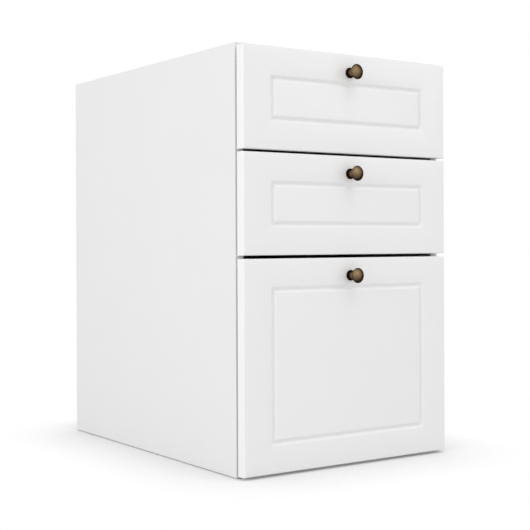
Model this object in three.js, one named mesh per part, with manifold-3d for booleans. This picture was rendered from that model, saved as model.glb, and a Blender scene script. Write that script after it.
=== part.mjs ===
// Three-drawer base cabinet, in millimetres.
// X is the width, -Y is the front, +Z is up; the origin is on the floor, midway between the knobs' faces
// and the rear edges of the sides. Boards are plain panels, the fronts have one routed groove each, and
// every drawer runs on four rollers in a pair of single-extension runners.

import * as THREE from "three";
import { mergeVertices } from "three/addons/utils/BufferGeometryUtils.js";
import Module from "manifold-3d";

const wasm = await Module();
wasm.setup();

// ---- Driving dimensions -------------------------------------------------------------------------

// Carcass
const CABINET_WIDTH = 450;
const CABINET_HEIGHT = 720;
const CARCASS_DEPTH = 610;
const CARCASS_BOARD = 16;
const RAIL_DEPTH = 100;
const BACK_THICKNESS = 3;
const BACK_INSET = 18;
const BACK_GROOVE_DEPTH = 8;

// Drawer fronts
const FRONT_THICKNESS = 19;
const SIDE_REVEAL = 1.5;
const TOP_REVEAL = 5;
const BOTTOM_REVEAL = 3;
const UPPER_GAP = 4.5;
const LOWER_GAP = 5.5;
const SHALLOW_FRONT_HEIGHT = 171.5;
const ARRIS_RADIUS = 2.5;
const GROOVE_WIDTH = 12;
const GROOVE_DEPTH = 3.5;
const GROOVE_SIDE_MARGIN = 59.5;
const GROOVE_END_MARGIN = 52;

// Bumpers between the fronts and the carcass
const BUMPER_DIAMETER = 8;
const BUMPER_THICKNESS = 3;
const BUMPER_DROP = 12;

// Knobs and their screws
const KNOB_DROP = 31;
const KNOB_PROJECTION = 27;
const KNOB_BASE_RADIUS = 9.25;
const KNOB_BASE_THICKNESS = 3;
const KNOB_BASE_CHAMFER = 1;
const KNOB_NECK_RADIUS = 5.5;
const KNOB_HEAD_RADIUS = 13.25;
const KNOB_DOME_RISE = 6.5;
const KNOB_BORE_DEPTH = 11;
const SCREW_DIAMETER = 4;
const SCREW_ENGAGEMENT = 9;
const SCREW_HEAD_RADIUS = 4.5;
const SCREW_HEAD_THICKNESS = 2;
const SCREW_HEAD_CHAMFER = 1;
const SCREW_CLEARANCE = 0.3;

// Drawer boxes
const BOX_BOARD = 12;
const BOX_ABOVE_FRONT_BOTTOM = 24;
const BOX_BELOW_FRONT_TOP = 42;
const BOX_BOTTOM_THICKNESS = 4;
const BOX_BOTTOM_RISE = 10;
const BOX_GROOVE_DEPTH = 6;
const GROOVE_CLEARANCE = 0.25;

// Runners and rollers
const BEHIND_RUNNERS = 39;
const RUNNER_SETBACK = 3;
const RUNNER_SPACE = 13;
const RUNNER_SHEET = 1.25;
const RUNNING_GAP = 0.25;
const FLANGE_LIFT = 0.5;
const BOX_SEAT_HEIGHT = 4;
const CHANNEL_TO_WEB_GAP = 1.25;
const ROLLER_DIAMETER = 25;
const ROLLER_CHAMFER = 1;
const ROLLER_END_INSET = 14;
const RIVET_RADIUS = 3;
const RIVET_HEAD_RADIUS = 4.5;
const RIVET_HEAD_THICKNESS = 1;
const RIVET_BOSS = 1.25;
const RIVET_CLEARANCE = 1.5;
const RUNNER_HOLE_DIAMETER = 5;
const RUNNER_HOLE_COUNT = 3;
const RUNNER_HOLE_INSET = 60;

// Facets round a full turn
const KNOB_SIDES = 28;
const ROLLER_SIDES = 20;
const PIN_SIDES = 12;
const ARC_STEPS = 4;
const GROOVE_STEPS = 12;
const WAIST_STEPS = 8;
const DOME_STEPS = 6;

// ---- Places worked out from them ----------------------------------------------------------------

const overallDepth = CARCASS_DEPTH + BUMPER_THICKNESS + FRONT_THICKNESS + KNOB_PROJECTION;
const carcassRear = overallDepth / 2;
const carcassFront = carcassRear - CARCASS_DEPTH;
const frontRearFace = carcassFront - BUMPER_THICKNESS;
const frontFace = frontRearFace - FRONT_THICKNESS;
const halfWidth = CABINET_WIDTH / 2;
const halfInside = halfWidth - CARCASS_BOARD;
const backRearFace = carcassRear - BACK_INSET;
const backFrontFace = backRearFace - BACK_THICKNESS;

const frontWidth = CABINET_WIDTH - 2 * SIDE_REVEAL;
const frontsHeight = CABINET_HEIGHT - TOP_REVEAL - BOTTOM_REVEAL;
const deepFrontHeight = frontsHeight - 2 * SHALLOW_FRONT_HEIGHT - UPPER_GAP - LOWER_GAP;

const runnerLength = backFrontFace - carcassFront - BEHIND_RUNNERS;
const boxHalfWidth = halfInside - RUNNER_SPACE;
const boxHalfInside = boxHalfWidth - BOX_BOARD;
const boxRear = frontRearFace + runnerLength;

const channelHeight = ROLLER_DIAMETER + 2 * (RUNNING_GAP + RUNNER_SHEET);
const channelWidth = RUNNER_SPACE - RUNNER_SHEET - CHANNEL_TO_WEB_GAP;
const flangeLevel = channelHeight + FLANGE_LIFT;
const drawerWebFace = RUNNER_SPACE - RUNNER_SHEET;
const rollerWidth =
  RUNNER_SPACE - 2 * RUNNER_SHEET - RIVET_BOSS - RUNNING_GAP - RIVET_HEAD_THICKNESS - RIVET_CLEARANCE;

const LEFT = -1;
const RIGHT = 1;
const sideNames = new Map([
  [LEFT, "left"],
  [RIGHT, "right"],
]);

// ---- Finishes -----------------------------------------------------------------------------------

const whiteBoard = { color: 0xeeeeee, roughness: 0.45, metalness: 0 };
const whiteFoil = { color: 0xf0f0f0, roughness: 0.38, metalness: 0 };
const hardboard = { color: 0xe6e4df, roughness: 0.7, metalness: 0 };
const whiteEpoxy = { color: 0xe9e9e6, roughness: 0.4, metalness: 0.1 };
const nylon = { color: 0xf2f2ee, roughness: 0.35, metalness: 0 };
const agedBrass = { color: 0x86683f, roughness: 0.4, metalness: 1 };
const zincPlate = { color: 0xb9bcc0, roughness: 0.35, metalness: 1 };
const clearBumper = { color: 0xdfe3e6, roughness: 0.3, metalness: 0 };

// ---- Shaping helpers ----------------------------------------------------------------------------

function named(name, geometry, finish, x = 0, y = 0, z = 0) {
  const piece = new THREE.Mesh(geometry, new THREE.MeshStandardMaterial(finish));
  piece.name = name;
  piece.position.set(x, y, z);
  return piece;
}

// A board between two values on each axis.
function board(name, finish, [x0, x1], [y0, y1], [z0, z1]) {
  const geometry = new THREE.BoxGeometry(x1 - x0, y1 - y0, z1 - z0);
  return named(name, geometry, finish, (x0 + x1) / 2, (y0 + y1) / 2, (z0 + z1) / 2);
}

function outline(points) {
  return new THREE.Shape(points.map(([a, b]) => new THREE.Vector2(a, b)));
}

// A plan section, given as [x, y] points, drawn up from z = 0.
function raised(points, height) {
  return new THREE.ExtrudeGeometry(outline(points), { depth: height, bevelEnabled: false });
}

// A cross-section, given as [x, z] points, drawn back along +Y from y = 0.
function drawnBack(points, length) {
  const geometry = raised(points, length);
  geometry.rotateX(Math.PI / 2);
  geometry.translate(0, length, 0);
  return geometry;
}

// A section given as [y, z] points, drawn across the cabinet from x = -width / 2 to width / 2.
function drawnAcross(points, width) {
  const geometry = raised(points, width);
  geometry.translate(0, 0, -width / 2);
  geometry.rotateY(Math.PI / 2);
  geometry.rotateX(Math.PI / 2);
  return geometry;
}

// A profile of [radius, distance] points turned about the Y axis.
function turned(points, sides) {
  return new THREE.LatheGeometry(points.map(([r, d]) => new THREE.Vector2(r, d)), sides);
}

// A turned piece laid along X, its distances growing away from the carcass side it belongs to.
function turnedAcross(points, sides, side) {
  const geometry = turned(points, sides);
  geometry.rotateZ((side * Math.PI) / 2);
  return geometry;
}

function solidOf(geometry) {
  const bare = geometry.clone();
  bare.deleteAttribute("normal");
  bare.deleteAttribute("uv");
  const merged = mergeVertices(bare, 1e-4);
  return new wasm.Manifold(
    new wasm.Mesh({
      numProp: 3,
      vertProperties: Float32Array.from(merged.attributes.position.array),
      triVerts: Uint32Array.from(merged.index.array),
    }),
  );
}

function geometryOf(solid) {
  const mesh = solid.getMesh();
  const geometry = new THREE.BufferGeometry();
  geometry.setAttribute("position", new THREE.BufferAttribute(mesh.vertProperties, 3));
  geometry.setIndex(new THREE.BufferAttribute(mesh.triVerts, 1));
  return geometry;
}

function cut(geometry, ...cutters) {
  return geometryOf(cutters.reduce((solid, cutter) => solid.subtract(solidOf(cutter)), solidOf(geometry)));
}

// A round cutter along the given axis, longer than the wall it goes through.
function drill(diameter, length, axis, x, y, z) {
  const geometry = new THREE.CylinderGeometry(diameter / 2, diameter / 2, length, PIN_SIDES);
  if (axis === "x") geometry.rotateZ(Math.PI / 2);
  geometry.translate(x, y, z);
  return geometry;
}

// A four-cornered turning with its corners moved apart: every edge of the profile becomes a
// mitred rectangle in the XZ plane. The profile's radii are half sides of a square of half side
// `reach`, which is spread to a rectangle of the given half sides.
function mitred(points, reach, halfX, halfZ) {
  const corners = points.map(([r, d]) => new THREE.Vector2(r * Math.SQRT2, d));
  const geometry = new THREE.LatheGeometry(corners, 4, Math.PI / 4);
  const position = geometry.attributes.position;
  for (let i = 0; i < position.count; i += 1) {
    const x = position.getX(i);
    const z = position.getZ(i);
    if (Math.hypot(x, z) < 1e-6) continue;
    position.setX(i, x + Math.sign(x) * (halfX - reach));
    position.setZ(i, z + Math.sign(z) * (halfZ - reach));
  }
  return geometry;
}

// Points on an arc from one angle to the next, in radians, both ends included.
function arc(centreR, centreD, radius, from, to, steps) {
  return Array.from({ length: steps + 1 }, (_, i) => {
    const angle = from + ((to - from) * i) / steps;
    return [centreR + radius * Math.cos(angle), centreD + radius * Math.sin(angle)];
  });
}

// The radius of the arc that rises by `rise` between a flat and a point `halfSpan` away.
function arcRadius(halfSpan, rise) {
  return (halfSpan ** 2 + rise ** 2) / (2 * rise);
}

// ---- Carcass ------------------------------------------------------------------------------------

// A side panel, standing on the floor, grooved from top to bottom for the back panel.
function carcassSide(side) {
  const outer = side * halfWidth;
  const inner = side * halfInside;
  const grooveFloor = side * (halfInside + BACK_GROOVE_DEPTH);
  const points = [
    [outer, carcassFront],
    [outer, carcassRear],
    [inner, carcassRear],
    [inner, backRearFace + GROOVE_CLEARANCE],
    [grooveFloor, backRearFace + GROOVE_CLEARANCE],
    [grooveFloor, backFrontFace - GROOVE_CLEARANCE],
    [inner, backFrontFace - GROOVE_CLEARANCE],
    [inner, carcassFront],
  ];
  return named(`carcass_side_${sideNames.get(side)}`, raised(points, CABINET_HEIGHT), whiteBoard);
}

// The bottom panel between the sides, grooved across its upper face for the back panel.
function carcassBottom() {
  const grooveFloor = CARCASS_BOARD - BACK_GROOVE_DEPTH;
  const points = [
    [carcassFront, 0],
    [carcassRear, 0],
    [carcassRear, CARCASS_BOARD],
    [backRearFace + GROOVE_CLEARANCE, CARCASS_BOARD],
    [backRearFace + GROOVE_CLEARANCE, grooveFloor],
    [backFrontFace - GROOVE_CLEARANCE, grooveFloor],
    [backFrontFace - GROOVE_CLEARANCE, CARCASS_BOARD],
    [carcassFront, CARCASS_BOARD],
  ];
  return named("carcass_bottom", drawnAcross(points, 2 * halfInside), whiteBoard);
}

function topRail(name, y0) {
  const underside = CABINET_HEIGHT - CARCASS_BOARD;
  const across = [-halfInside, halfInside];
  return board(name, whiteBoard, across, [y0, y0 + RAIL_DEPTH], [underside, CABINET_HEIGHT]);
}

function backPanel() {
  const reach = halfInside + BACK_GROOVE_DEPTH - GROOVE_CLEARANCE;
  const foot = CARCASS_BOARD - BACK_GROOVE_DEPTH + GROOVE_CLEARANCE;
  const depth = [backFrontFace, backRearFace];
  return board("back_panel", hardboard, [-reach, reach], depth, [foot, CABINET_HEIGHT]);
}

function carcass() {
  const group = new THREE.Group();
  group.add(carcassSide(LEFT), carcassSide(RIGHT), carcassBottom(), backPanel());
  group.add(topRail("top_rail_front", carcassFront));
  group.add(topRail("top_rail_rear", backFrontFace - GROOVE_CLEARANCE - RAIL_DEPTH));
  return group;
}

// ---- Runners: sections are drawn from the carcass side inwards, and up from the runner's foot ---

// The rivet that a roller turns on. It starts on the sheet at d = 0 and ends in a flat head.
function rivetProfile() {
  const bossEnd = RIVET_BOSS - RUNNING_GAP;
  const headStart = RIVET_BOSS + rollerWidth + RUNNING_GAP;
  const headEnd = headStart + RIVET_HEAD_THICKNESS;
  return [
    [0, -RUNNER_SHEET / 2],
    [RIVET_HEAD_RADIUS, -RUNNER_SHEET / 2],
    [RIVET_HEAD_RADIUS, bossEnd],
    [RIVET_RADIUS, bossEnd],
    [RIVET_RADIUS, headStart],
    [RIVET_HEAD_RADIUS, headStart],
    [RIVET_HEAD_RADIUS, headEnd],
    [0, headEnd],
  ];
}

function roller(name, side, x, y, z) {
  const bore = RIVET_RADIUS + RUNNING_GAP;
  const rim = ROLLER_DIAMETER / 2;
  const half = rollerWidth / 2;
  const points = [
    [bore, -half],
    [rim - ROLLER_CHAMFER, -half],
    [rim, ROLLER_CHAMFER - half],
    [rim, half - ROLLER_CHAMFER],
    [rim - ROLLER_CHAMFER, half],
    [bore, half],
    [bore, -half],
  ];
  return named(name, turnedAcross(points, ROLLER_SIDES, side), nylon, x, y, z);
}

// The channel screwed to the carcass side. Its top flange is cut away over the front roller.
function cabinetRunner(name, side, foot) {
  const inwards = (u) => side * (halfInside - u);
  const top = channelHeight;
  const points = [
    [inwards(0), 0],
    [inwards(channelWidth), 0],
    [inwards(channelWidth), RUNNER_SHEET],
    [inwards(RUNNER_SHEET), RUNNER_SHEET],
    [inwards(RUNNER_SHEET), top - RUNNER_SHEET],
    [inwards(channelWidth), top - RUNNER_SHEET],
    [inwards(channelWidth), top],
    [inwards(0), top],
  ];
  const window = new THREE.BoxGeometry(channelWidth, 2 * ROLLER_END_INSET + RUNNER_SETBACK, top);
  window.translate(
    inwards(RUNNER_SHEET + channelWidth / 2),
    ROLLER_END_INSET - RUNNER_SETBACK / 2,
    RUNNER_SHEET + top / 2,
  );
  const rivet = turnedAcross(rivetProfile(), PIN_SIDES, side);
  rivet.translate(inwards(RUNNER_SHEET), ROLLER_END_INSET, frontRollerLevel);
  const web = inwards(RUNNER_SHEET / 2);
  const holes = runnerHoleOffsets().map((y) =>
    drill(RUNNER_HOLE_DIAMETER, 4 * RUNNER_SHEET, "x", web, y, channelHeight / 2),
  );
  const channel = solidOf(cut(drawnBack(points, runnerLength), window, ...holes));
  const geometry = geometryOf(channel.add(solidOf(rivet)));
  return named(name, geometry, whiteEpoxy, 0, carcassFront + RUNNER_SETBACK, foot);
}

function runnerHoleOffsets() {
  const pitch = (runnerLength - 2 * RUNNER_HOLE_INSET) / (RUNNER_HOLE_COUNT - 1);
  return Array.from({ length: RUNNER_HOLE_COUNT }, (_, i) => RUNNER_HOLE_INSET + i * pitch);
}

// The profile screwed under the box side: a leg under the board, a web beside it, and the flange
// that rides on the cabinet's front roller. Its own roller is riveted at the rear end.
function drawerRunner(name, side, foot) {
  const inwards = (u) => side * (halfInside - u);
  const points = [
    [inwards(drawerWebFace), BOX_SEAT_HEIGHT - RUNNER_SHEET],
    [inwards(RUNNER_SPACE + BOX_BOARD), BOX_SEAT_HEIGHT - RUNNER_SHEET],
    [inwards(RUNNER_SPACE + BOX_BOARD), BOX_SEAT_HEIGHT],
    [inwards(RUNNER_SPACE), BOX_SEAT_HEIGHT],
    [inwards(RUNNER_SPACE), flangeLevel + RUNNER_SHEET],
    [inwards(RUNNER_SHEET), flangeLevel + RUNNER_SHEET],
    [inwards(RUNNER_SHEET), flangeLevel],
    [inwards(drawerWebFace), flangeLevel],
  ];
  const rivet = turnedAcross(rivetProfile(), PIN_SIDES, -side);
  rivet.translate(inwards(drawerWebFace), runnerLength - ROLLER_END_INSET, channelHeight / 2);
  const profile = solidOf(drawnBack(points, runnerLength));
  const geometry = geometryOf(profile.add(solidOf(rivet)));
  return named(name, geometry, whiteEpoxy, 0, frontRearFace, foot);
}

const frontRollerLevel = flangeLevel - RUNNING_GAP - ROLLER_DIAMETER / 2;

function runnerPair(drawer, side, foot) {
  const where = sideNames.get(side);
  const group = new THREE.Group();
  const frontRollerX = side * (halfInside - RUNNER_SHEET - RIVET_BOSS - rollerWidth / 2);
  const rearRollerX = side * (halfInside - drawerWebFace + RIVET_BOSS + rollerWidth / 2);
  const frontRollerY = carcassFront + RUNNER_SETBACK + ROLLER_END_INSET;
  const rearRollerY = boxRear - ROLLER_END_INSET;
  group.add(cabinetRunner(`${drawer}_cabinet_runner_${where}`, side, foot));
  group.add(drawerRunner(`${drawer}_drawer_runner_${where}`, side, foot));
  group.add(
    roller(`${drawer}_cabinet_roller_${where}`, side, frontRollerX, frontRollerY, foot + frontRollerLevel),
    roller(`${drawer}_drawer_roller_${where}`, side, rearRollerX, rearRollerY, foot + channelHeight / 2),
  );
  return group;
}

// ---- Drawers ------------------------------------------------------------------------------------

// The routed groove: a rounded valley that runs round the front as one mitred rectangle.
function grooveCutter(height) {
  const reach = GROOVE_WIDTH;
  const overshoot = 1;
  const first = [reach - GROOVE_WIDTH / 2, -overshoot];
  const last = [reach + GROOVE_WIDTH / 2, -overshoot];
  const valley = Array.from({ length: GROOVE_STEPS + 1 }, (_, i) => {
    const across = i / GROOVE_STEPS;
    return [last[0] - GROOVE_WIDTH * across, (GROOVE_DEPTH / 2) * (1 - Math.cos(2 * Math.PI * across))];
  });
  const halfX = frontWidth / 2 - GROOVE_SIDE_MARGIN;
  const halfZ = height / 2 - GROOVE_END_MARGIN;
  const geometry = mitred([first, last, ...valley, first], reach, halfX, halfZ);
  geometry.translate(0, -FRONT_THICKNESS, 0);
  return geometry;
}

// The front board: rounded arrises towards the room, the groove, and the hole for the knob's screw.
function drawerFront(name, height) {
  const reach = height / 2;
  const arrisR = reach - ARRIS_RADIUS;
  const arrisD = ARRIS_RADIUS - FRONT_THICKNESS;
  const points = [
    [0, -FRONT_THICKNESS],
    ...arc(arrisR, arrisD, ARRIS_RADIUS, -Math.PI / 2, 0, ARC_STEPS),
    [reach, 0],
    [0, 0],
  ];
  const blank = mitred(points, reach, frontWidth / 2, height / 2);
  const hole = SCREW_DIAMETER + 2 * SCREW_CLEARANCE;
  const screwHole = drill(hole, 3 * FRONT_THICKNESS, "y", 0, 0, height / 2 - KNOB_DROP);
  return named(name, cut(blank, grooveCutter(height), screwHole), whiteFoil, 0, frontRearFace, height / 2);
}

// A mushroom knob, turned from its blind bore out over the base, the waisted neck and the dome.
function knob(name, z) {
  const bore = SCREW_DIAMETER / 2 + SCREW_CLEARANCE;
  const shoulder = KNOB_BASE_RADIUS - KNOB_BASE_CHAMFER;
  const rimLevel = KNOB_PROJECTION - KNOB_DOME_RISE;
  const domeRadius = arcRadius(KNOB_HEAD_RADIUS, KNOB_DOME_RISE);
  const domeStart = Math.acos(KNOB_HEAD_RADIUS / domeRadius);
  const domeCentre = KNOB_PROJECTION - domeRadius;
  // At its middle a cubic curve has three quarters of its handles' radius and an eighth of each end's.
  const handle = (KNOB_NECK_RADIUS - (shoulder + KNOB_HEAD_RADIUS) / 8) / 0.75;
  const waist = new THREE.CubicBezierCurve(
    new THREE.Vector2(shoulder, KNOB_BASE_THICKNESS),
    new THREE.Vector2(handle, KNOB_BASE_THICKNESS + KNOB_BASE_CHAMFER),
    new THREE.Vector2(handle, (KNOB_BASE_THICKNESS + 3 * rimLevel) / 4),
    new THREE.Vector2(KNOB_HEAD_RADIUS, rimLevel),
  );
  const profile = [
    [0, KNOB_BORE_DEPTH],
    [bore, KNOB_BORE_DEPTH],
    [bore, 0],
    [KNOB_BASE_RADIUS, 0],
    [KNOB_BASE_RADIUS, KNOB_BASE_THICKNESS - KNOB_BASE_CHAMFER],
    ...waist.getPoints(WAIST_STEPS).map((point) => point.toArray()),
    ...arc(0, domeCentre, domeRadius, domeStart, Math.PI / 2, DOME_STEPS).slice(1, -1),
    [0, KNOB_PROJECTION],
  ];
  const points = profile.map(([r, d]) => [r, -d]).reverse();
  return named(name, turned(points, KNOB_SIDES), agedBrass, 0, frontFace, z);
}

// The screw that holds the knob: its head bears on the back of the front.
function knobScrew(name, z) {
  const radius = SCREW_DIAMETER / 2;
  const points = [
    [0, -FRONT_THICKNESS - SCREW_ENGAGEMENT],
    [radius, -FRONT_THICKNESS - SCREW_ENGAGEMENT],
    [radius, 0],
    [SCREW_HEAD_RADIUS, 0],
    [SCREW_HEAD_RADIUS - SCREW_HEAD_CHAMFER, SCREW_HEAD_THICKNESS],
    [0, SCREW_HEAD_THICKNESS],
  ];
  return named(name, turned(points, PIN_SIDES), zincPlate, 0, frontRearFace, z);
}

function bumper(name, side, z) {
  const radius = BUMPER_DIAMETER / 2;
  const geometry = new THREE.CylinderGeometry(radius, radius, BUMPER_THICKNESS, PIN_SIDES);
  const x = side * (halfWidth - CARCASS_BOARD / 2);
  return named(name, geometry, clearBumper, x, frontRearFace + BUMPER_THICKNESS / 2, z);
}

// Box side: full length, grooved on its inner face for the bottom panel.
function boxSide(name, side, foot, height) {
  const outer = side * boxHalfWidth;
  const inner = side * boxHalfInside;
  const grooveFloor = side * (boxHalfInside + BOX_GROOVE_DEPTH);
  const grooveTop = BOX_BOTTOM_RISE + BOX_BOTTOM_THICKNESS + 2 * GROOVE_CLEARANCE;
  const points = [
    [outer, 0],
    [inner, 0],
    [inner, BOX_BOTTOM_RISE],
    [grooveFloor, BOX_BOTTOM_RISE],
    [grooveFloor, grooveTop],
    [inner, grooveTop],
    [inner, height],
    [outer, height],
  ];
  return named(name, drawnBack(points, runnerLength), whiteBoard, 0, frontRearFace, foot);
}

// Box front: between the box sides, behind the drawer front, with the same groove.
function boxFront(name, foot, height) {
  const rearFace = frontRearFace + BOX_BOARD;
  const grooveTop = BOX_BOTTOM_RISE + BOX_BOTTOM_THICKNESS + 2 * GROOVE_CLEARANCE;
  const points = [
    [frontRearFace, 0],
    [rearFace, 0],
    [rearFace, BOX_BOTTOM_RISE],
    [rearFace - BOX_GROOVE_DEPTH, BOX_BOTTOM_RISE],
    [rearFace - BOX_GROOVE_DEPTH, grooveTop],
    [rearFace, grooveTop],
    [rearFace, height],
    [frontRearFace, height],
  ];
  return named(name, drawnAcross(points, 2 * boxHalfInside), whiteBoard, 0, 0, foot);
}

// Box back: between the box sides and on top of the bottom panel, which slides in under it.
function boxBack(name, foot, height) {
  const lowerEdge = foot + BOX_BOTTOM_RISE + BOX_BOTTOM_THICKNESS + 2 * GROOVE_CLEARANCE;
  const across = [-boxHalfInside, boxHalfInside];
  return board(name, whiteBoard, across, [boxRear - BOX_BOARD, boxRear], [lowerEdge, foot + height]);
}

function boxBottom(name, foot) {
  const reach = boxHalfInside + BOX_GROOVE_DEPTH - GROOVE_CLEARANCE;
  const front = frontRearFace + BOX_BOARD - BOX_GROOVE_DEPTH + GROOVE_CLEARANCE;
  const underside = foot + BOX_BOTTOM_RISE + GROOVE_CLEARANCE;
  const upright = [underside, underside + BOX_BOTTOM_THICKNESS];
  return board(name, hardboard, [-reach, reach], [front, boxRear], upright);
}

// One drawer in a group whose z = 0 is the lower edge of its front.
function drawer(name, lowerEdge, height) {
  const group = new THREE.Group();
  const boxFoot = BOX_ABOVE_FRONT_BOTTOM;
  const boxHeight = height - BOX_ABOVE_FRONT_BOTTOM - BOX_BELOW_FRONT_TOP;
  const knobLevel = height - KNOB_DROP;
  group.add(
    drawerFront(`${name}_drawer_front`, height),
    knob(`${name}_knob`, knobLevel),
    knobScrew(`${name}_knob_screw`, knobLevel),
    boxFront(`${name}_box_front`, boxFoot, boxHeight),
    boxBack(`${name}_box_back`, boxFoot, boxHeight),
    boxBottom(`${name}_box_bottom`, boxFoot),
  );
  for (const side of [LEFT, RIGHT]) {
    group.add(
      boxSide(`${name}_box_side_${sideNames.get(side)}`, side, boxFoot, boxHeight),
      bumper(`${name}_bumper_${sideNames.get(side)}`, side, height - BUMPER_DROP),
      runnerPair(name, side, boxFoot - BOX_SEAT_HEIGHT),
    );
  }
  group.position.z = lowerEdge;
  return group;
}

// ---- The cabinet --------------------------------------------------------------------------------

const cabinet = new THREE.Group();
cabinet.add(carcass());

const bottomEdge = BOTTOM_REVEAL;
const middleEdge = bottomEdge + deepFrontHeight + LOWER_GAP;
const topEdge = middleEdge + SHALLOW_FRONT_HEIGHT + UPPER_GAP;
cabinet.add(
  drawer("bottom", bottomEdge, deepFrontHeight),
  drawer("middle", middleEdge, SHALLOW_FRONT_HEIGHT),
  drawer("top", topEdge, SHALLOW_FRONT_HEIGHT),
);

export default cabinet;
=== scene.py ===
# Three-drawer base cabinet: the finish of every board, runner and knob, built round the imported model.
# Sizes are in metres. X is the width, -Y the front, +Z up.

import math

import bmesh
import bpy
from mathutils import Matrix, Vector


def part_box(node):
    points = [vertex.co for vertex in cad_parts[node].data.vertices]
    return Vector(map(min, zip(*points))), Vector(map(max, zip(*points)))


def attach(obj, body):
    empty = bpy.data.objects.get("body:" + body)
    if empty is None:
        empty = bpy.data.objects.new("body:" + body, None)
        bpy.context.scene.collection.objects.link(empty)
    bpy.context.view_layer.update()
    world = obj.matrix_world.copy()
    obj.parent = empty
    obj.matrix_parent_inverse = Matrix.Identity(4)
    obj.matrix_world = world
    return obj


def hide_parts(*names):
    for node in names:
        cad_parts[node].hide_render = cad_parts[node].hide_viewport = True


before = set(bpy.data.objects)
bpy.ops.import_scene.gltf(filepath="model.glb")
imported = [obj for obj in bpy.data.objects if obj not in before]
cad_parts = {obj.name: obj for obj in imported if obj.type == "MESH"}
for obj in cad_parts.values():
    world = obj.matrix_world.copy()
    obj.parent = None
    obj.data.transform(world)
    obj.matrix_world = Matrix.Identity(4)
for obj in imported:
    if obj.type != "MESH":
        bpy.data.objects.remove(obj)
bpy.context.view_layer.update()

LEFT, RIGHT = "left", "right"
OUTWARD = {LEFT: -1.0, RIGHT: 1.0}
DRAWERS = ("top", "middle", "bottom")


# ---- Carcass boards -------------------------------------------------------------------------------
# Sides, bottom and top rails are 16 mm chipboard faced with white melamine. The saw leaves the core
# bare on the rear and upper edges, which a wall and a worktop cover; the front edges are banded white.


class Value:
    """A socket of a finish that takes part in sums: each operator adds its Math node."""

    def __init__(self, finish, socket):
        self.finish = finish
        self.socket = socket

    def maths(self, operation, first, second):
        return self.finish.node("ShaderNodeMath", {0: first, 1: second}, operation=operation)

    def __add__(self, other):
        return self.maths("ADD", self, other)

    def __radd__(self, other):
        return self.maths("ADD", other, self)

    def __sub__(self, other):
        return self.maths("SUBTRACT", self, other)

    def __rsub__(self, other):
        return self.maths("SUBTRACT", other, self)

    def __mul__(self, other):
        return self.maths("MULTIPLY", self, other)

    def __rmul__(self, other):
        return self.maths("MULTIPLY", other, self)

    def __pow__(self, other):
        return self.maths("POWER", self, other)

    def __gt__(self, other):
        return self.maths("GREATER_THAN", self, other)

    def __lt__(self, other):
        return self.maths("LESS_THAN", self, other)

    def __or__(self, other):
        return self.maths("MAXIMUM", self, other)


class Finish:
    """A material, or the surround, under construction: one method makes its nodes, read as values."""

    def __init__(self, name, library=bpy.data.materials, shader="Principled BSDF"):
        self.material = library.new(name)
        self.material.use_nodes = True
        self.tree = self.material.node_tree
        self.shader = self.tree.nodes[shader]

    def node(self, kind, sockets=None, output=0, **settings):
        made = self.tree.nodes.new(kind)
        for key, setting in settings.items():
            if key == "stops":
                self.set_stops(made.color_ramp, setting)
            else:
                setattr(made, key, setting)
        for key, given in (sockets or {}).items():
            self.feed(made.inputs[key], given)
        return Value(self, made.outputs[output])

    def set_stops(self, ramp, stops):
        while len(ramp.elements) > 1:
            ramp.elements.remove(ramp.elements[-1])
        for index, (place, colour) in enumerate(stops):
            stop = ramp.elements[0] if index == 0 else ramp.elements.new(place)
            stop.position = place
            stop.color = (*colour, 1.0)

    def feed(self, socket, given):
        if isinstance(given, Value):
            self.tree.links.new(given.socket, socket)
        elif isinstance(given, tuple) and len(given) == 3 and socket.type == "RGBA":
            socket.default_value = (*given, 1.0)
        else:
            socket.default_value = given

    def set(self, **sockets):
        for name, given in sockets.items():
            self.feed(self.shader.inputs[name.replace("_", " ")], given)
        return self.material

    def place(self):
        return self.node("ShaderNodeTexCoord", output="Object")

    def facing(self, axis):
        """1 where the surface faces along that axis, -1 where it faces against it."""
        normal = self.node("ShaderNodeTexCoord", output="Normal")
        return self.node("ShaderNodeSeparateXYZ", {0: normal}, axis)

    def noise(self, size, detail=2.0, stretch=(1.0, 1.0, 1.0)):
        """Soft noise from 0 to 1 whose blotches are about `size` across."""
        where = self.node("ShaderNodeMapping", {"Vector": self.place(), "Scale": stretch})
        return self.node("ShaderNodeTexNoise", {"Vector": where, "Scale": 1.0 / size, "Detail": detail})

    def flakes(self, size, stretch=(1.0, 1.0, 1.0)):
        """One random grey for each flake."""
        where = self.node("ShaderNodeMapping", {"Vector": self.place(), "Scale": stretch})
        cells = self.node("ShaderNodeTexVoronoi", {"Vector": where, "Scale": 1.0 / size}, output="Color")
        return self.node("ShaderNodeSeparateColor", {0: cells})

    def ramp(self, factor, *stops):
        return self.node("ShaderNodeValToRGB", {"Fac": factor}, stops=stops)

    def mix(self, factor, first, second):
        """A blend of two colours."""
        return self.node("ShaderNodeMix", {0: factor, 6: first, 7: second}, output=2, data_type="RGBA")

    def bump(self, height, depth):
        return self.node("ShaderNodeBump", {"Height": height, "Distance": depth, "Strength": 1.0})


SQUARE_ON = 0.7


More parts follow.
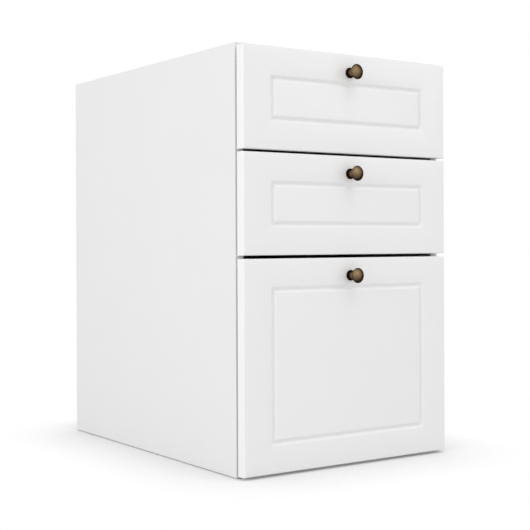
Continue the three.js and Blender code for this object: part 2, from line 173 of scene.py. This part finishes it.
def melamine(name, *bare_faces):
    """White melamine, with the chipboard core showing on the faces named, such as '+Y'."""
    finish = Finish(name)
    bare = None
    for face in bare_faces:
        towards = finish.facing("XYZ".index(face[1]))
        seen = (towards > SQUARE_ON) if face[0] == "+" else (towards < -SQUARE_ON)
        bare = seen if bare is None else bare | seen
    cloud = finish.noise(0.12)
    white = finish.mix(cloud, (0.766, 0.766, 0.766), (0.785, 0.785, 0.783))
    pearl = finish.noise(0.0009, detail=3.0)
    coarse = finish.flakes(0.0022, stretch=(1.0, 0.55, 1.0))
    fine = finish.noise(0.0006, detail=4.0)
    core = finish.ramp(
        0.65 * coarse + 0.35 * fine,
        (0.1, (0.16, 0.095, 0.045)),
        (0.35, (0.36, 0.235, 0.13)),
        (0.6, (0.52, 0.37, 0.22)),
        (0.9, (0.66, 0.5, 0.33)),
    )
    skin = pearl * (1.0 - bare) * 0.000012
    chips = (0.6 * coarse + 0.4 * fine) * bare * 0.00018
    return finish.set(
        Base_Color=finish.mix(bare, white, core),
        Roughness=0.44 + 0.4 * bare,
        Normal=finish.bump(skin + chips, 1.0),
    )


def dress(node, material, edge=0.0004):
    """Gives a node of the model its finish, and breaks its sharp edges as the maker does."""
    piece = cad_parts[node]
    piece.data.materials.clear()
    piece.data.materials.append(material)
    weld = piece.modifiers.new("weld", "WELD")
    weld.merge_threshold = 0.00001
    eased = piece.modifiers.new("eased_edges", "BEVEL")
    eased.width = edge
    eased.segments = 2
    eased.limit_method = "ANGLE"
    eased.angle_limit = math.radians(40)


side_board = melamine("melamine_side", "+Y", "+Z")
bottom_board = melamine("melamine_bottom", "+Y")
rail_board = melamine("melamine_rail", "+Y")
for hand in OUTWARD:
    dress(f"carcass_side_{hand}", side_board)
dress("carcass_bottom", bottom_board)
dress("top_rail_front", rail_board)
dress("top_rail_rear", rail_board)


# ---- Back panel -----------------------------------------------------------------------------------
# A sheet of 3 mm hardboard, slid down the grooves of the sides. It is lacquered white on the face
# that shows inside the cabinet, and its rear is brown pressed fibre.

fibre = Finish("hardboard")
rear_facing = fibre.facing(1) > 0.5
strands = fibre.noise(0.0016, detail=5.0, stretch=(1.0, 1.0, 0.4))
blotches = fibre.noise(0.09, detail=3.0)
brown = fibre.ramp(
    0.7 * strands + 0.3 * blotches,
    (0.3, (0.17, 0.095, 0.05)),
    (0.5, (0.26, 0.155, 0.085)),
    (0.72, (0.36, 0.23, 0.14)),
)
lacquer = fibre.mix(blotches, (0.80, 0.80, 0.79), (0.83, 0.83, 0.82))
dress(
    "back_panel",
    fibre.set(
        Base_Color=fibre.mix(rear_facing, lacquer, brown),
        Roughness=0.45 + 0.35 * rear_facing,
        Normal=fibre.bump(strands * (0.15 + rear_facing), 0.00008),
    ),
    edge=0.0002,
)


# ---- Cabinet runners ------------------------------------------------------------------------------
# A channel of 1.25 mm steel, epoxy-coated white and screwed to the carcass side through its web.
# The front roller turns on a rivet that is peened into the channel.


def turn_to(axis):
    """The rotation that brings +Z to that axis."""
    return Vector(axis).to_track_quat("Z", "Y").to_matrix().to_4x4()


def turned(name, profile, axis, centre, turns=48):
    """A mesh turned round `axis` from [radius, distance] points, its origin at `centre`."""
    build = bmesh.new()
    rings = []
    for radius, distance in profile:
        if radius < 1e-7:
            rings.append([build.verts.new((0.0, 0.0, distance))])
            continue
        ring = []
        for step in range(turns):
            angle = 2 * math.pi * step / turns
            ring.append(build.verts.new((radius * math.cos(angle), radius * math.sin(angle), distance)))
        rings.append(ring)
    for inner, outer in zip(rings, rings[1:]):
        for step in range(turns):
            following = (step + 1) % turns
            corners = [inner[step % len(inner)], inner[following % len(inner)]]
            corners += [outer[following % len(outer)], outer[step % len(outer)]]
            corners = list(dict.fromkeys(corners))
            if len(corners) > 2:
                build.faces.new(corners)
    if len(rings[0]) > 1 and profile[0] == profile[-1]:
        bmesh.ops.remove_doubles(build, verts=build.verts, dist=1e-8)
    bmesh.ops.recalc_face_normals(build, faces=build.faces)
    return finished(name, build, turn_to(axis), centre)


def finished(name, build, turn, centre, sharp_degrees=32):
    """Makes an object of a bmesh, shaded smooth but for its sharp edges."""
    mesh = bpy.data.meshes.new(name)
    build.to_mesh(mesh)
    build.free()
    mesh.transform(turn)
    mesh.shade_smooth()
    mesh.set_sharp_from_angle(angle=math.radians(sharp_degrees))
    piece = bpy.data.objects.new(name, mesh)
    piece.location = centre
    bpy.context.scene.collection.objects.link(piece)
    return piece


def fit(piece, material, body):
    """Finishes a piece of the scene's own and lets it move with its body."""
    piece.data.materials.append(material)
    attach(piece, body)


coat = Finish("white_epoxy")
orange_peel = coat.noise(0.0025, detail=1.5)
epoxy = coat.set(
    Base_Color=coat.mix(coat.noise(0.05), (0.77, 0.77, 0.755), (0.80, 0.80, 0.785)),
    Roughness=0.30 + 0.12 * coat.noise(0.01),
    Normal=coat.bump(orange_peel, 0.00004),
)

plate = Finish("zinc_plate")
streaks = plate.noise(0.0008, detail=3.0, stretch=(1.0, 1.0, 5.0))
zinc = plate.set(
    Base_Color=plate.mix(streaks, (0.50, 0.51, 0.53), (0.66, 0.67, 0.68)),
    Metallic=1.0,
    Roughness=0.28 + 0.16 * streaks,
    Normal=plate.bump(streaks, 0.00001),
)

SHEET = 0.00125
RUNNER_SCREW_INSETS = (0.060, 0.275, 0.490)
RUNNER_SCREW_SUNK = 0.0002
RUNNER_SCREW_RISE = 0.0006
COUNTERSUNK_RADIUS = 0.0034
UNDER_HEAD = 0.0002


def cross_slot_screw(name, radius, rise, axis, centre):
    """A screw head with a dome of that rise, and a cross for the driver sunk into it."""
    build = bmesh.new()

    def dome(across, up):
        return rise * math.sqrt(max(1.0 - (across**2 + up**2) / radius**2, 0.0))

    def ring(share, level=None, turns=24):
        points = []
        for step in range(turns):
            angle = 2 * math.pi * step / turns
            across, up = share * radius * math.cos(angle), share * radius * math.sin(angle)
            points.append(build.verts.new((across, up, dome(across, up) if level is None else level)))
        return points

    def joined(first, second):
        for step, start in enumerate(first):
            following = (step + 1) % len(first)
            build.faces.new((start, first[following], second[following], second[step]))

    arm, half = 0.55 * radius, 0.13 * radius
    corner = ((arm, half), (half, half), (half, arm), (-half, arm), (-half, half), (-arm, half))
    corner += tuple((-across, -up) for across, up in corner)
    mouth = [build.verts.new((across, up, dome(across, up))) for across, up in corner]
    sunk = [build.verts.new((0.9 * across, 0.9 * up, 0.1 * rise)) for across, up in corner]
    under, edge, shoulder, crown = ring(1.0, -UNDER_HEAD), ring(1.0, 0.0), ring(0.93), ring(0.75)
    joined(under, edge)
    joined(edge, shoulder)
    joined(shoulder, crown)
    joined(mouth, sunk)
    build.faces.new(under)
    build.faces.new(sunk)
    rims = []
    for loop in (crown, mouth):
        rims += [build.edges.get((loop[step - 1], loop[step])) for step in range(len(loop))]
    bmesh.ops.triangle_fill(build, edges=rims, use_beauty=True)
    bmesh.ops.recalc_face_normals(build, faces=build.faces)
    return finished(name, build, turn_to(axis), centre)


for drawer in DRAWERS:
    for hand, outward in OUTWARD.items():
        runner = f"{drawer}_cabinet_runner_{hand}"
        dress(runner, epoxy, edge=0.00045)
        low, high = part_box(runner)
        web = (low.x if outward < 0 else high.x) - outward * SHEET
        for number, inset in enumerate(RUNNER_SCREW_INSETS, 1):
            seat = Vector((web + outward * RUNNER_SCREW_SUNK, low.y + inset, (low.z + high.z) / 2))
            name = f"{runner}_screw_{number}"
            screw = cross_slot_screw(name, COUNTERSUNK_RADIUS, RUNNER_SCREW_RISE, (-outward, 0, 0), seat)
            fit(screw, zinc, "carcass")


# ---- Rollers --------------------------------------------------------------------------------------
# White nylon wheels 25 mm across, moulded with a thinner web between the hub and the tread. The
# cabinet's pair carries the drawer at the front, the drawer's pair runs in the channels behind.

moulded = Finish("white_nylon")
nylon = moulded.set(
    Base_Color=moulded.mix(moulded.noise(0.006), (0.78, 0.78, 0.75), (0.83, 0.83, 0.80)),
    Roughness=0.34 + 0.1 * moulded.noise(0.002),
    Normal=moulded.bump(moulded.noise(0.0008), 0.00001),
    Subsurface_Weight=0.05,
)

BORE = 0.00325
HUB = 0.0062
RECESS = 0.0011


def middle(node):
    low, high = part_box(node)
    return (low + high) / 2


def size(node):
    low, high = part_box(node)
    return high - low


for drawer in DRAWERS:
    for hand in OUTWARD:
        for kind in ("cabinet", "drawer"):
            node = f"{drawer}_{kind}_roller_{hand}"
            tread = size(node).z / 2
            half = size(node).x / 2
            section = [
                (BORE, -half),
                (HUB - 0.0004, -half),
                (HUB, -half + 0.0004),
                (HUB + 0.0004, -half + RECESS),
                (tread - 0.0032, -half + RECESS),
                (tread - 0.0026, -half + 0.0003),
                (tread - 0.0022, -half),
                (tread - 0.0009, -half),
                (tread - 0.0002, -half + 0.0004),
                (tread, -half + 0.0011),
            ]
            section += [(radius, -distance) for radius, distance in reversed(section)]
            section.append(section[0])
            wheel = turned(f"{node}_wheel", section, (1, 0, 0), middle(node))
            fit(wheel, nylon, node)
            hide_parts(node)


# ---- Drawer runners -------------------------------------------------------------------------------
# A folded profile under each box side: a leg beneath the board, a web beside it, and the flange that
# rides on the front roller. Three screws go up through the leg into the board.

LEG_SCREW_INSETS = (0.050, 0.275, 0.500)
LEG_SCREW_ACROSS = 0.006
LEG_SCREW_SUNK = 0.0001
LEG_SCREW_RISE = 0.0008

for drawer in DRAWERS:
    for hand, outward in OUTWARD.items():
        runner = f"{drawer}_drawer_runner_{hand}"
        dress(runner, epoxy, edge=0.00045)
        low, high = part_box(runner)
        leg = (low.x if outward > 0 else high.x) + outward * LEG_SCREW_ACROSS
        for number, inset in enumerate(LEG_SCREW_INSETS, 1):
            seat = Vector((leg, low.y + inset, low.z + LEG_SCREW_SUNK))
            name = f"{runner}_screw_{number}"
            screw = cross_slot_screw(name, COUNTERSUNK_RADIUS, LEG_SCREW_RISE, (0, 0, -1), seat)
            fit(screw, zinc, f"{drawer}_drawer")


# ---- Drawer boxes ---------------------------------------------------------------------------------
# Four 12 mm white boards round a 4 mm bottom in grooves. The sides are screwed to the ends of the box
# front and back, and four screws from inside pull the drawer front against the box.

box_end_board = melamine("melamine_box_end", "-Z")
box_side_board = melamine("melamine_box_side", "+Y", "-Z")
sheet = Finish("drawer_bottom")
sheet_below = sheet.facing(2) < -0.5
sheet_fibres = sheet.noise(0.0016, detail=5.0)
drawer_sheet = sheet.set(
    Base_Color=sheet.mix(
        sheet_below,
        sheet.mix(sheet.noise(0.1), (0.79, 0.79, 0.78), (0.82, 0.82, 0.81)),
        sheet.ramp(sheet_fibres, (0.3, (0.2, 0.115, 0.06)), (0.7, (0.33, 0.21, 0.125))),
    ),
    Roughness=0.45 + 0.35 * sheet_below,
    Normal=sheet.bump(sheet_fibres * (0.15 + sheet_below), 0.00006),
)

FIXING_ACROSS = {LEFT: -0.135, RIGHT: 0.135}
FIXING_LEVELS = {"low": 0.31, "high": 0.81}
FIXING_RADIUS = 0.0042
FIXING_RISE = 0.0019
CORNER_SCREW_LEVELS = (0.42, 0.82)
CORNER_SCREW_SUNK = 0.0001
CORNER_SCREW_RISE = 0.0005

for drawer in DRAWERS:
    body = f"{drawer}_drawer"
    dress(f"{drawer}_box_front", box_end_board)
    dress(f"{drawer}_box_back", box_end_board)
    dress(f"{drawer}_box_bottom", drawer_sheet, edge=0.0002)
    for hand in OUTWARD:
        dress(f"{drawer}_box_side_{hand}", box_side_board)

    front_low, front_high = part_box(f"{drawer}_box_front")
    for hand, across in FIXING_ACROSS.items():
        for place, share in FIXING_LEVELS.items():
            level = front_low.z + share * (front_high.z - front_low.z)
            seat = Vector((across, front_high.y, level))
            name = f"{drawer}_front_fixing_{hand}_{place}"
            fixing = cross_slot_screw(name, FIXING_RADIUS, FIXING_RISE, (0, 1, 0), seat)
            fit(fixing, zinc, body)

    back_low, back_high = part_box(f"{drawer}_box_back")
    for hand, outward in OUTWARD.items():
        side_low, side_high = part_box(f"{drawer}_box_side_{hand}")
        face = side_low.x if outward < 0 else side_high.x
        ends = {"front": (front_low.y + front_high.y) / 2, "rear": (back_low.y + back_high.y) / 2}
        for end, along in ends.items():
            for number, share in enumerate(CORNER_SCREW_LEVELS, 1):
                level = side_low.z + share * (side_high.z - side_low.z)
                seat = Vector((face - outward * CORNER_SCREW_SUNK, along, level))
                name = f"{drawer}_corner_screw_{hand}_{end}_{number}"
                towards = (outward, 0, 0)
                screw = cross_slot_screw(name, COUNTERSUNK_RADIUS, CORNER_SCREW_RISE, towards, seat)
                fit(screw, zinc, body)


# ---- Drawer fronts --------------------------------------------------------------------------------
# 19 mm fibreboard with one routed groove round a plain field, wrapped in satin white foil that is
# drawn over the groove and the rounded arrises. The back is flat and white.

ARRIS = 0.0025
ARRIS_STEPS = 6
BACK_EDGE = 0.0003
GROOVE_WIDTH = 0.012
GROOVE_DEPTH = 0.0035
GROOVE_SIDE_MARGIN = 0.0595
GROOVE_END_MARGIN = 0.052
GROOVE_STEPS = 24
CORNER_STEPS = 6
CORNER_HOLD = 0.002


def corner_loop(half_x, half_z, grown, depth):
    """Points round a rectangle grown by that much; a cutter leaves the outer corners round."""
    radius = max(grown, 0.0)
    reach = min(grown, 0.0)
    points = []
    for quarter, (sign_x, sign_z) in enumerate(((1, 1), (-1, 1), (-1, -1), (1, -1))):
        centre = Vector((sign_x * (half_x + reach), 0.0, sign_z * (half_z + reach)))
        first = math.radians(90 * quarter)
        for step in range(-1, CORNER_STEPS + 2):
            turn = first + math.radians(90) * min(max(step / CORNER_STEPS, 0.0), 1.0)
            outward = Vector((math.cos(turn), 0.0, math.sin(turn)))
            point = centre + radius * outward
            if step == -1:
                point -= CORNER_HOLD * Vector((-math.sin(first), 0.0, math.cos(first)))
            if step == CORNER_STEPS + 1:
                point += CORNER_HOLD * Vector((-math.sin(turn), 0.0, math.cos(turn)))
            points.append(point + Vector((0.0, depth, 0.0)))
    return points


def looped(name, loops, centre):
    """A closed mesh through a row of loops, capped flat at both ends."""
    build = bmesh.new()
    rings = [[build.verts.new(point) for point in loop] for loop in loops]
    for inner, outer in zip(rings, rings[1:]):
        for step, start in enumerate(inner):
            following = (step + 1) % len(inner)
            build.faces.new((start, inner[following], outer[following], outer[step]))
    build.faces.new(reversed(rings[0]))
    build.faces.new(rings[-1])
    bmesh.ops.remove_doubles(build, verts=build.verts, dist=1e-6)
    bmesh.ops.recalc_face_normals(build, faces=build.faces)
    return finished(name, build, Matrix.Identity(4), centre)


wrap = Finish("satin_foil")
foil_grain = wrap.noise(0.0011, detail=3.0)
foil = wrap.set(
    Base_Color=wrap.mix(wrap.noise(0.15), (0.846, 0.846, 0.846), (0.86, 0.86, 0.859)),
    Roughness=0.36 + 0.08 * wrap.noise(0.02),
    Normal=wrap.bump(foil_grain, 0.000008),
    Coat_Weight=0.1,
)

for drawer in DRAWERS:
    node = f"{drawer}_drawer_front"
    low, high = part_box(node)
    half_x = (high.x - low.x) / 2
    half_z = (high.z - low.z) / 2
    thick = high.y - low.y
    groove_x = half_x - GROOVE_SIDE_MARGIN
    groove_z = half_z - GROOVE_END_MARGIN
    loops = []
    for step in range(GROOVE_STEPS + 1):
        grown = GROOVE_WIDTH * (step / GROOVE_STEPS - 0.5)
        depth = GROOVE_DEPTH / 2 * (1 + math.cos(2 * math.pi * grown / GROOVE_WIDTH))
        loops.append(corner_loop(groove_x, groove_z, grown, depth))
    for step in range(ARRIS_STEPS + 1):
        angle = math.radians(90 * step / ARRIS_STEPS)
        inset = ARRIS * (1 - math.sin(angle))
        loops.append(corner_loop(half_x - inset, half_z - inset, 0.0, ARRIS * (1 - math.cos(angle))))
    loops.append(corner_loop(half_x, half_z, 0.0, thick - BACK_EDGE))
    loops.append(corner_loop(half_x - BACK_EDGE, half_z - BACK_EDGE, 0.0, thick))
    board = looped(f"{node}_board", loops, Vector((0.0, low.y, (low.z + high.z) / 2)))
    fit(board, foil, f"{drawer}_drawer")
    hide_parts(node)


# ---- Bumpers --------------------------------------------------------------------------------------
# Soft clear domes stuck behind the upper corners of each front. They land on the side panels' edges
# and keep the 3 mm shadow gap.

gel = Finish("clear_bumper")
soft_clear = gel.set(
    Base_Color=gel.mix(gel.noise(0.002), (0.66, 0.68, 0.69), (0.74, 0.76, 0.77)),
    Roughness=0.2 + 0.1 * gel.noise(0.001),
    Subsurface_Weight=0.3,
)

BUMPER_WALL = 0.35
BUMPER_FULLNESS = 0.6
BUMPER_STEPS = 6

for drawer in DRAWERS:
    for hand in OUTWARD:
        node = f"{drawer}_bumper_{hand}"
        radius = size(node).x / 2
        thick = size(node).y
        centre = middle(node) - Vector((0.0, thick / 2, 0.0))
        dome = [(0.0, 0.0), (radius, 0.0), (radius, thick * BUMPER_WALL)]
        for step in range(1, BUMPER_STEPS + 1):
            angle = math.radians(90 * step / BUMPER_STEPS)
            level = BUMPER_WALL + (1.0 - BUMPER_WALL) * math.sin(angle)
            dome.append((radius * math.cos(angle) ** BUMPER_FULLNESS, thick * level))
        dome[-1] = (0.0, thick)
        bumper = turned(f"{node}_dome", dome, (0, 1, 0), centre, turns=32)
        fit(bumper, soft_clear, f"{drawer}_drawer")
        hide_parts(node)


# ---- Knobs ----------------------------------------------------------------------------------------
# Mushroom knobs of antique brass: a round base, a waisted neck and a domed head. The patina is almost
# black on the base and rim, and darker still on the rim's right side as painted shade. A lighter band on
# the flare behind the head is a painted highlight. Fingers have rubbed the dome back to tan at a spot of
# its own on each knob, set to the upper left so that it also paints a highlight there.

# The spots sit left of and above each knob's axis, so the tan worn area also stands for a painted
# highlight from the upper left; the lean widens the dark rim on the right as painted shade.
RIM_SHADE_LEAN = 0.0011
WORN_LIT_SPOTS = {"top": (-0.0070, 0.0005), "middle": (-0.0058, 0.0036), "bottom": (-0.0062, 0.0040)}


def aged_brass(name, lit_spot_across, lit_spot_up):
    """Antique brass rubbed back to tan round that spot of its dome, which also paints a highlight there.
    """
    aged = Finish(name)
    spot = aged.place()
    across = aged.node("ShaderNodeSeparateXYZ", {0: spot}, "X")
    along = aged.node("ShaderNodeSeparateXYZ", {0: spot}, "Y")
    upward = aged.node("ShaderNodeSeparateXYZ", {0: spot}, "Z")
    mottle = aged.noise(0.003, detail=4.0)

    def share(value, none, full):
        """0 where the value is at none and 1 where it is at full, in equal steps between."""
        return aged.node("ShaderNodeMapRange", {"Value": value, "From Min": none, "From Max": full})

    off_across = across - lit_spot_across
    off_up = upward - lit_spot_up
    from_lit_spot = (off_across * off_across + off_up * off_up) ** 0.5
    # The rim's dark band is leaned to the right: painted shade on the side away from the light.
    off_axis = across + RIM_SHADE_LEAN
    from_axis = (off_axis * off_axis + upward * upward) ** 0.5
    fade = share(from_lit_spot + 0.003 * mottle, 0.0160, 0.0030) * share(from_axis, 0.0133, 0.0100)
    on_head = share(along, -0.0183, -0.0202)
    # Tan where the dome is worn, and painted highlight, as the spot sits to the upper left.
    wear_and_highlight = fade * on_head * (0.5 + 0.8 * mottle)
    neck = aged.mix(share(along, -0.0035, -0.0060), (0.012, 0.007, 0.004), (0.095, 0.055, 0.040))
    # Lighter tan on the flare behind the head: a painted highlight.
    flare_highlight = aged.mix(share(along, -0.0060, -0.0090), neck, (0.30, 0.20, 0.13))
    patina = aged.mix(on_head, flare_highlight, (0.030, 0.019, 0.011))
    return aged.set(
        Base_Color=aged.mix(wear_and_highlight, patina, (0.35, 0.243, 0.132)),
        Metallic=1.0,
        Specular_Tint=(0.4, 0.33, 0.26),
        Roughness=0.52 - 0.06 * wear_and_highlight + 0.1 * mottle,
        Normal=aged.bump(mottle, 0.00006),
    )


KNOB_BASE = 0.00925
KNOB_NECK = 0.0055
RIM_LEVEL = 0.0198
RIM_ROUND = 0.0007
DOME_STEPS = 14

for drawer in DRAWERS:
    node = f"{drawer}_knob"
    low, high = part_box(node)
    out = high.y - low.y
    rim = (high.x - low.x) / 2
    profile = [
        (0.0, 0.0),
        (KNOB_BASE - 0.0003, 0.0),
        (KNOB_BASE, 0.0003),
        (KNOB_BASE, 0.0018),
        (KNOB_BASE - 0.0004, 0.0026),
        (KNOB_BASE - 0.0012, 0.0030),
        (KNOB_BASE - 0.0024, 0.0034),
        (KNOB_NECK + 0.0008, 0.0048),
        (KNOB_NECK + 0.0002, 0.0070),
        (KNOB_NECK, 0.0092),
        (KNOB_NECK + 0.0003, 0.0112),
        (KNOB_NECK + 0.0012, 0.0134),
        (KNOB_NECK + 0.0028, 0.0156),
        (KNOB_NECK + 0.0052, 0.0178),
        (rim - RIM_ROUND, RIM_LEVEL - 0.0003),
        (rim - 0.0002, RIM_LEVEL + 0.0002),
        (rim, RIM_LEVEL + 0.0007),
    ]
    rise = out - profile[-1][1]
    dome = (rim**2 + rise**2) / (2 * rise)
    spread = math.asin(rim / dome)
    for step in range(1, DOME_STEPS + 1):
        turn = spread * (1 - step / DOME_STEPS)
        profile.append((dome * math.sin(turn), out - dome * (1 - math.cos(turn))))
    centre = Vector((0.0, high.y, (low.z + high.z) / 2))
    knob = turned(f"{node}_turning", profile, (0, -1, 0), centre, turns=72)
    brass = aged_brass(f"{drawer}_aged_brass", *WORN_LIT_SPOTS[drawer])
    fit(knob, brass, f"{drawer}_drawer")
    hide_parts(node)
    dress(f"{drawer}_knob_screw", zinc, edge=0.0002)


# ---- Studio ---------------------------------------------------------------------------------------
# An even white surround and a white floor, which keeps the soft shadow round the cabinet's foot. Three
# wide lamps, at the left, above and at the right, draw the grooves and arrises.

SURROUND_LEVEL = 0.82


def seen_rays(finish):
    """1 for the rays that show a background: to the camera, off metal, or through something clear."""
    kinds = ("Is Camera Ray", "Is Glossy Ray", "Is Transmission Ray")
    camera, glossy, clear = (finish.node("ShaderNodeLightPath", output=kind) for kind in kinds)
    return camera | glossy | clear


surround = Finish("surround", library=bpy.data.worlds, shader="Background")
bpy.context.scene.world = surround.set(
    Color=(1.0, 1.0, 1.0),
    Strength=SURROUND_LEVEL + (1.0 - SURROUND_LEVEL) * seen_rays(surround),
)

FLOOR_REACH = 60.0
FLOOR_LEVEL = -0.0018
SHADOW_REACH = 0.17
CONTACT_REACH = 0.07
SHADOW_DEPTH = 1.8
CONTACT_DEPTH = 0.45
DARKEST_FLOOR = 0.12
bpy.ops.mesh.primitive_plane_add(size=2 * FLOOR_REACH, location=(0.0, 0.0, FLOOR_LEVEL))
floor = bpy.context.object
floor.name = "floor"
paper = Finish("white_floor")
open_air, foot_air = (
    paper.node("ShaderNodeAmbientOcclusion", {"Distance": reach}, output="AO", samples=16)
    for reach in (SHADOW_REACH, CONTACT_REACH)
)
shown_white = open_air**SHADOW_DEPTH * foot_air**CONTACT_DEPTH | DARKEST_FLOOR
matt = paper.node("ShaderNodeBsdfDiffuse", {"Color": (0.8, 0.8, 0.8)})
white = paper.node("ShaderNodeEmission", {"Strength": 1.0})
seen_floor = paper.node("ShaderNodeMixShader", {0: shown_white, 1: matt, 2: white})
surface = paper.node("ShaderNodeMixShader", {0: seen_rays(paper), 1: matt, 2: seen_floor})
paper.feed(paper.tree.nodes["Material Output"].inputs["Surface"], surface)
floor.data.materials.append(paper.material)


def soft_lamp(name, place, aim, width, power):
    light = bpy.data.lights.new(name, "AREA")
    light.shape = "DISK"
    light.size = width
    light.energy = power
    lamp = bpy.data.objects.new(name, light)
    lamp.location = place
    lamp.rotation_euler = (Vector(aim) - Vector(place)).to_track_quat("-Z", "Y").to_euler()
    bpy.context.scene.collection.objects.link(lamp)


MIDDLE = (0.0, 0.0, 0.4)
soft_lamp("left_lamp", (-3.2, -0.85, 1.3), MIDDLE, 1.4, 27.0)
soft_lamp("right_lamp", (2.2, -2.6, 1.5), MIDDLE, 1.2, 6.5)
soft_lamp("upper_lamp", (0.1, -1.4, 3.0), MIDDLE, 1.4, 12.0)


# ---- Camera ---------------------------------------------------------------------------------------
# Where the photograph was taken from: level with the middle of the cabinet, from its front left.

PHOTO_SIDE = 530
FOCAL_LENGTH_PX = 1139.6
HORIZON_ROW = 242.0
YAW = math.radians(-34.56)
ROLL = math.radians(-0.24)
SENSOR = 36.0
CAMERA_PLACE = (-1.2514, -1.8565, 0.3897)

lens = bpy.data.cameras.new("photo_camera")
lens.sensor_width = SENSOR
lens.lens = FOCAL_LENGTH_PX / PHOTO_SIDE * SENSOR
lens.shift_y = (HORIZON_ROW - PHOTO_SIDE / 2) / PHOTO_SIDE
lens.clip_end = 200.0
camera = bpy.data.objects.new("photo_camera", lens)
upright = Matrix.Rotation(math.radians(90), 4, "X")
camera.matrix_world = (
    Matrix.Translation(CAMERA_PLACE)
    @ Matrix.Rotation(YAW, 4, "Z")
    @ upright
    @ Matrix.Rotation(ROLL, 4, "Z")
)
bpy.context.scene.collection.objects.link(camera)
bpy.context.scene.camera = camera

bpy.context.scene.view_settings.view_transform = "Standard"
